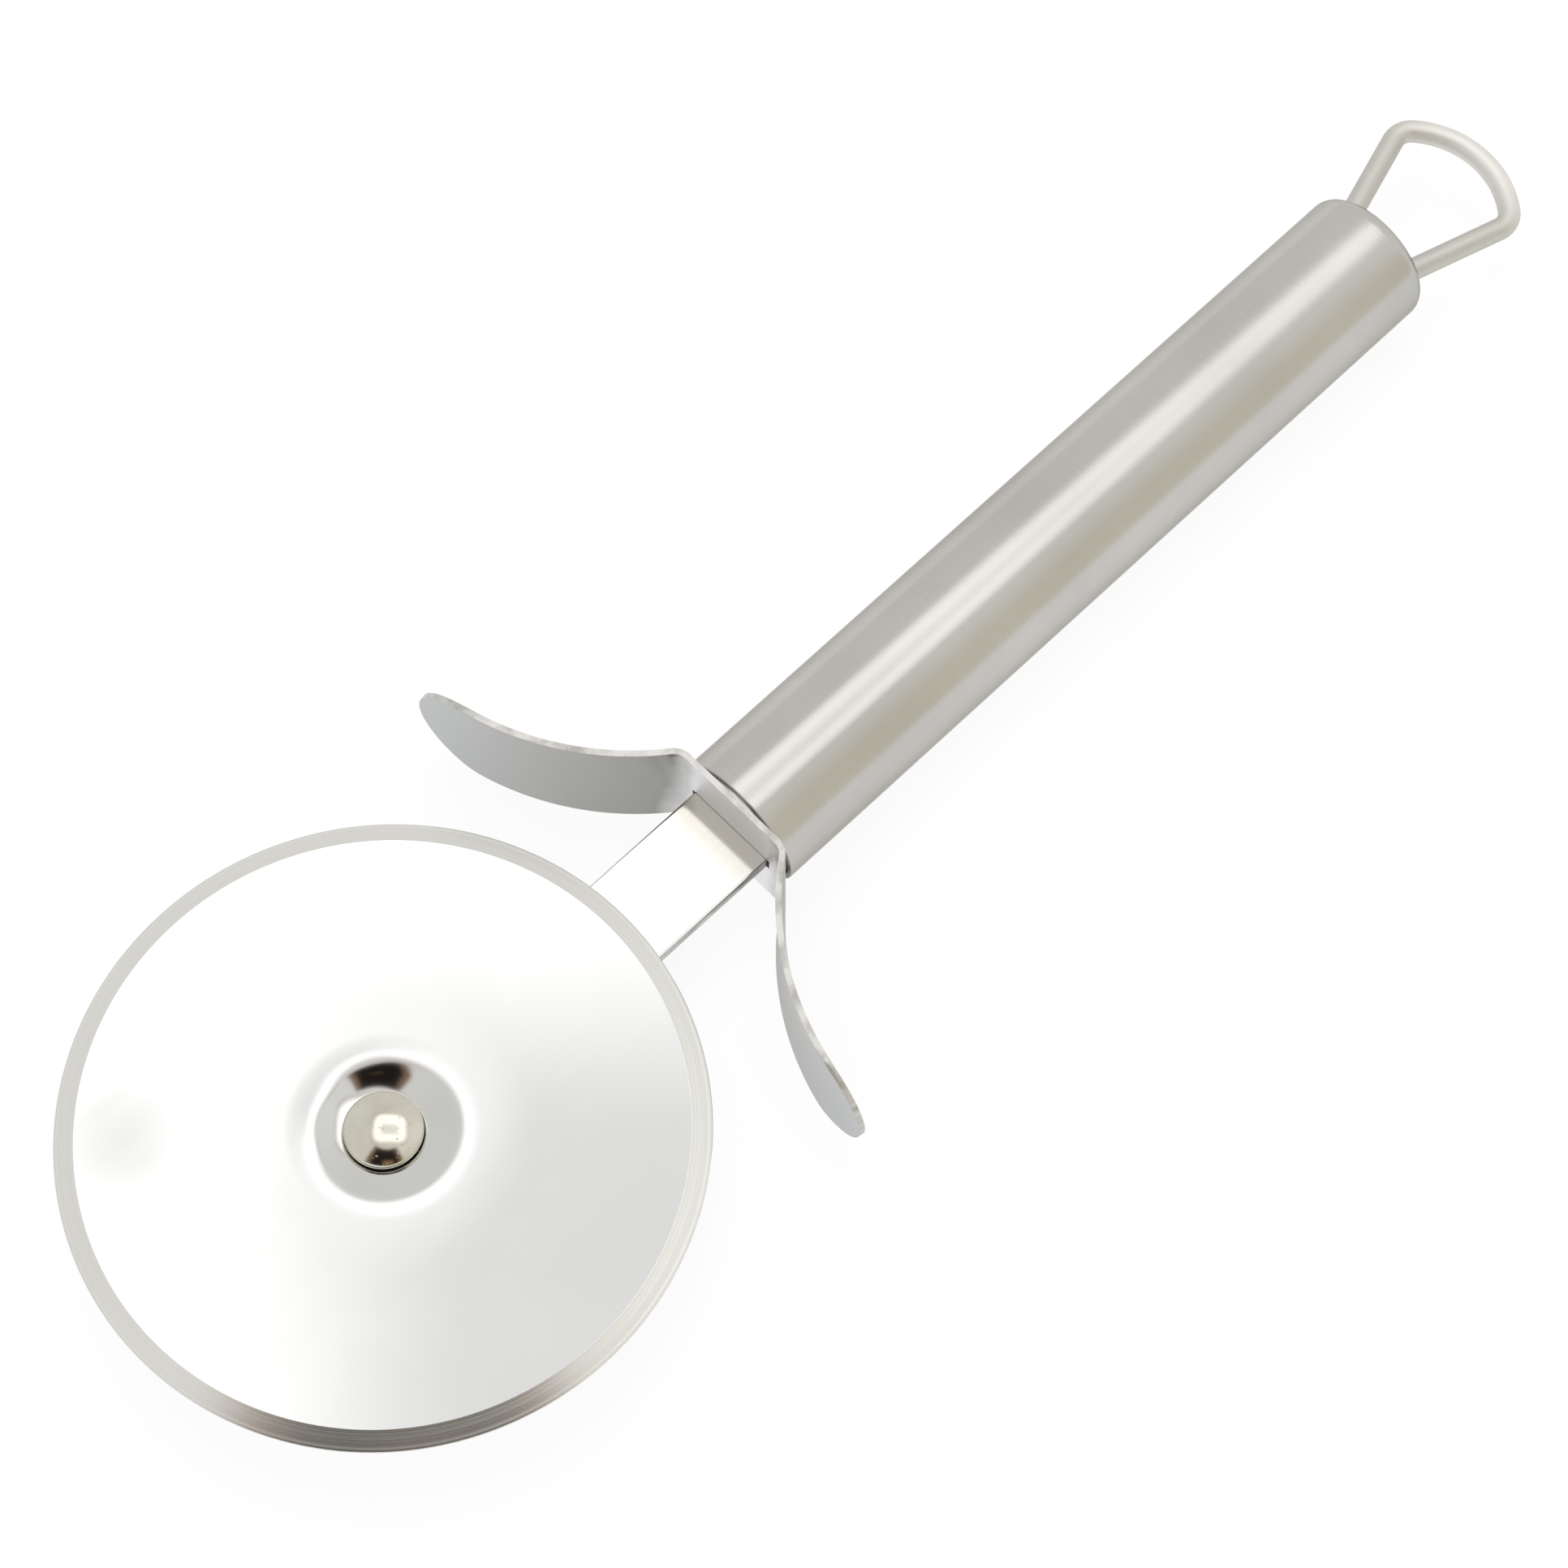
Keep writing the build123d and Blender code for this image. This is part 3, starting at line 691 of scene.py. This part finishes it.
def paint_tent(tree):
    """The light tent's inside, drawn on the slopes of its roof from straight up: pale walls, a big
    square softbox, and the dark fan of the camera and its stand."""
    place = add(tree, "ShaderNodeTexCoord").outputs["Object"]
    parts = add(tree, "ShaderNodeSeparateXYZ", {0: place}).outputs
    # The slopes are turned so that they run along the tent's sides
    slope_x = add(tree, "ShaderNodeMath", {0: parts["X"], 1: parts["Z"]}, operation="DIVIDE")
    slope_y = add(tree, "ShaderNodeMath", {0: parts["Y"], 1: parts["Z"]}, operation="DIVIDE")
    slopes = add(tree, "ShaderNodeCombineXYZ", {0: slope_x, 1: slope_y})
    turned = add(tree, "ShaderNodeMapping", {"Vector": slopes, "Rotation": (0, 0, math.radians(44.3))})
    sides = add(tree, "ShaderNodeSeparateXYZ", {0: turned}).outputs

    def fade(value, edge, soft, inside):
        """A soft step at an edge: 1 below it where inside is true, else 1 above it."""
        return add(tree, "ShaderNodeMapRange",
                   {"Value": value, "From Min": edge - soft, "From Max": edge + soft,
                    "To Min": float(inside), "To Max": float(not inside)}, interpolation_type="SMOOTHSTEP")

    def patch(centre, half, corner, soft):
        """1 inside a soft-edged rectangle with round corners, 0 outside it."""
        moved = add(tree, "ShaderNodeVectorMath", {0: turned, 1: (*centre, 0)}, operation="SUBTRACT")
        folded = add(tree, "ShaderNodeVectorMath", {0: moved}, operation="ABSOLUTE")
        straight = (half[0] - corner, half[1] - corner, 0)
        past = add(tree, "ShaderNodeVectorMath", {0: folded, 1: straight}, operation="SUBTRACT")
        past = add(tree, "ShaderNodeVectorMath", {0: past, 1: (0, 0, 0)}, operation="MAXIMUM")
        far = add(tree, "ShaderNodeVectorMath", {0: past}, operation="LENGTH").outputs["Value"]
        return fade(far, corner, soft, True)

    def fan(half_angle):
        """1 inside a fan that opens from overhead towards the camera's side, as far as the camera
        reaches."""
        apex_y, lean, soft = 0.12, math.radians(4), math.radians(4)
        towards = add(tree, "ShaderNodeMath", {0: apex_y, 1: sides["Y"]}, operation="SUBTRACT")
        leaning = add(tree, "ShaderNodeMath", {0: sides["X"], 1: towards}, operation="ARCTAN2")
        leaning = add(tree, "ShaderNodeMath", {0: leaning, 1: lean}, operation="ADD")
        leaning = add(tree, "ShaderNodeMath", {0: leaning}, operation="ABSOLUTE")
        far = add(tree, "ShaderNodeVectorMath", {0: turned, 1: (0, apex_y, 0)}, operation="DISTANCE")
        far = far.outputs["Value"]
        begun, ended = fade(far, 0.46, 0.05, False), fade(far, 1.25, 0.15, True)
        reach = add(tree, "ShaderNodeMath", {0: begun, 1: ended}, operation="MULTIPLY")
        spread = fade(leaning, math.radians(half_angle), soft, True)
        return add(tree, "ShaderNodeMath", {0: spread, 1: reach}, operation="MULTIPLY")

    # Walls: duller and warm on the side where the camera stands, paler elsewhere
    across = add(tree, "ShaderNodeMapRange", {"Value": parts["Y"], "From Min": -TENT_RADIUS,
                                              "From Max": TENT_RADIUS})
    seen = add(tree, "ShaderNodeValToRGB", {"Fac": across},
               [(0.0, colour("#ebe8da")), (0.12, colour("#e8e5d6")), (0.27, colour("#fbfaf8")),
                (0.5, colour("#f6f5f2")), (0.75, colour("#eeedeb")), (1.0, colour("#efefee"))]).outputs["Color"]
    layers = (
        # The softbox: its dull frame, its bright cloth, and two dimmer places on the cloth
        (patch((0.07, 0.27), (0.52, 0.49), 0.2, 0.05), colour("#b9ab98"), 0.4),
        (patch((0.07, 0.27), (0.44, 0.41), 0.22, 0.08), grey(1.75), 1.0),
        (patch((0.05, 0.2), (0.2, 0.13), 0.04, 0.06), grey(1.05), 1.0),
        (patch((-0.2215, 0.287), (0.017, 0.017), 0.015, 0.015), grey(1.3), 1.0),
        # The camera and its stand: brown edges, a dark middle, and a warm glint
        (fan(37), colour("#8a6f5a"), 1.0),
        (fan(28), colour("#1f1a1a"), 1.0),
        (patch((0.04, -0.78), (0.16, 0.09), 0.09, 0.08), colour("#b59567"), 0.8),
    )
    for mask, shade, share in layers:
        laid = add(tree, "ShaderNodeMath", {0: mask, 1: share}, operation="MULTIPLY")
        # A Mix node keeps its colours in inputs 6 and 7 and in output 2
        seen = add(tree, "ShaderNodeMix", {"Factor": laid, 6: seen, 7: shade}, data_type="RGBA").outputs[2]
    return seen


def make_tent():
    """The light tent that the metal mirrors. Only reflections see it."""
    bm = bmesh.new()
    bmesh.ops.create_uvsphere(bm, u_segments=64, v_segments=32, radius=TENT_RADIUS)
    bmesh.ops.bisect_plane(bm, geom=bm.verts[:] + bm.edges[:] + bm.faces[:], plane_co=(0, 0, 0.02),
                           plane_no=ALONG_Z, clear_inner=True)
    made = bpy.data.materials.new("tent_cloth")
    tree = new_tree(made)
    glow = add(tree, "ShaderNodeEmission", {"Color": paint_tent(tree), "Strength": 1.0})
    add(tree, "ShaderNodeOutputMaterial", {"Surface": glow})
    tent = stand_mesh(bm, "light_tent", made)
    tent.data.shade_smooth()
    tent.visible_camera = tent.visible_diffuse = tent.visible_shadow = tent.visible_transmission = False


def make_world():
    """White behind everything for the camera and the metal, and plain soft light for the floor."""
    world = bpy.data.worlds.new("studio")
    bpy.context.scene.world = world
    tree = new_tree(world)
    light = add(tree, "ShaderNodeBackground", {"Color": colour("#f2f2f0"), "Strength": 0.55})
    white = add(tree, "ShaderNodeBackground", {"Color": grey(1), "Strength": 1.0})
    mixed = add(tree, "ShaderNodeMixShader", {0: is_looked_at(tree), 1: light, 2: white})
    add(tree, "ShaderNodeOutputWorld", {"Surface": mixed})


def make_lamp(name, place, size, watts):
    """A soft square lamp that points at the tool."""
    lamp = bpy.data.lights.new(name, "AREA")
    lamp.shape, lamp.size, lamp.energy = "SQUARE", size, watts
    held = bpy.data.objects.new(name, lamp)
    held.location = place
    held.rotation_euler = (-Vector(place)).to_track_quat("-Z", "Y").to_euler()
    held.visible_camera = held.visible_glossy = False
    bpy.context.scene.collection.objects.link(held)


make_floor()
make_tent()
make_world()
make_lamp("key_lamp", (0.3, 0.4, 1.1), size=0.9, watts=11)
make_lamp("fill_lamp", (-0.7, -0.2, 0.9), size=0.9, watts=5)

# ---------------------------------------------------------------- camera and view

# Its place, turn in degrees and lens were fitted to the tool's outlines
camera = bpy.data.objects.new("camera", bpy.data.cameras.new("camera"))
camera.location = (-0.158932, -0.151996, 0.510625)
camera.rotation_euler = Euler([math.radians(a) for a in (22.835820, 0.128547, -44.335545)], "XYZ")
camera.data.sensor_width = 36
camera.data.lens = 98.7578
camera.data.clip_start, camera.data.clip_end = 0.01, 30
bpy.context.scene.collection.objects.link(camera)
bpy.context.scene.camera = camera
bpy.context.scene.view_settings.view_transform = "Standard"
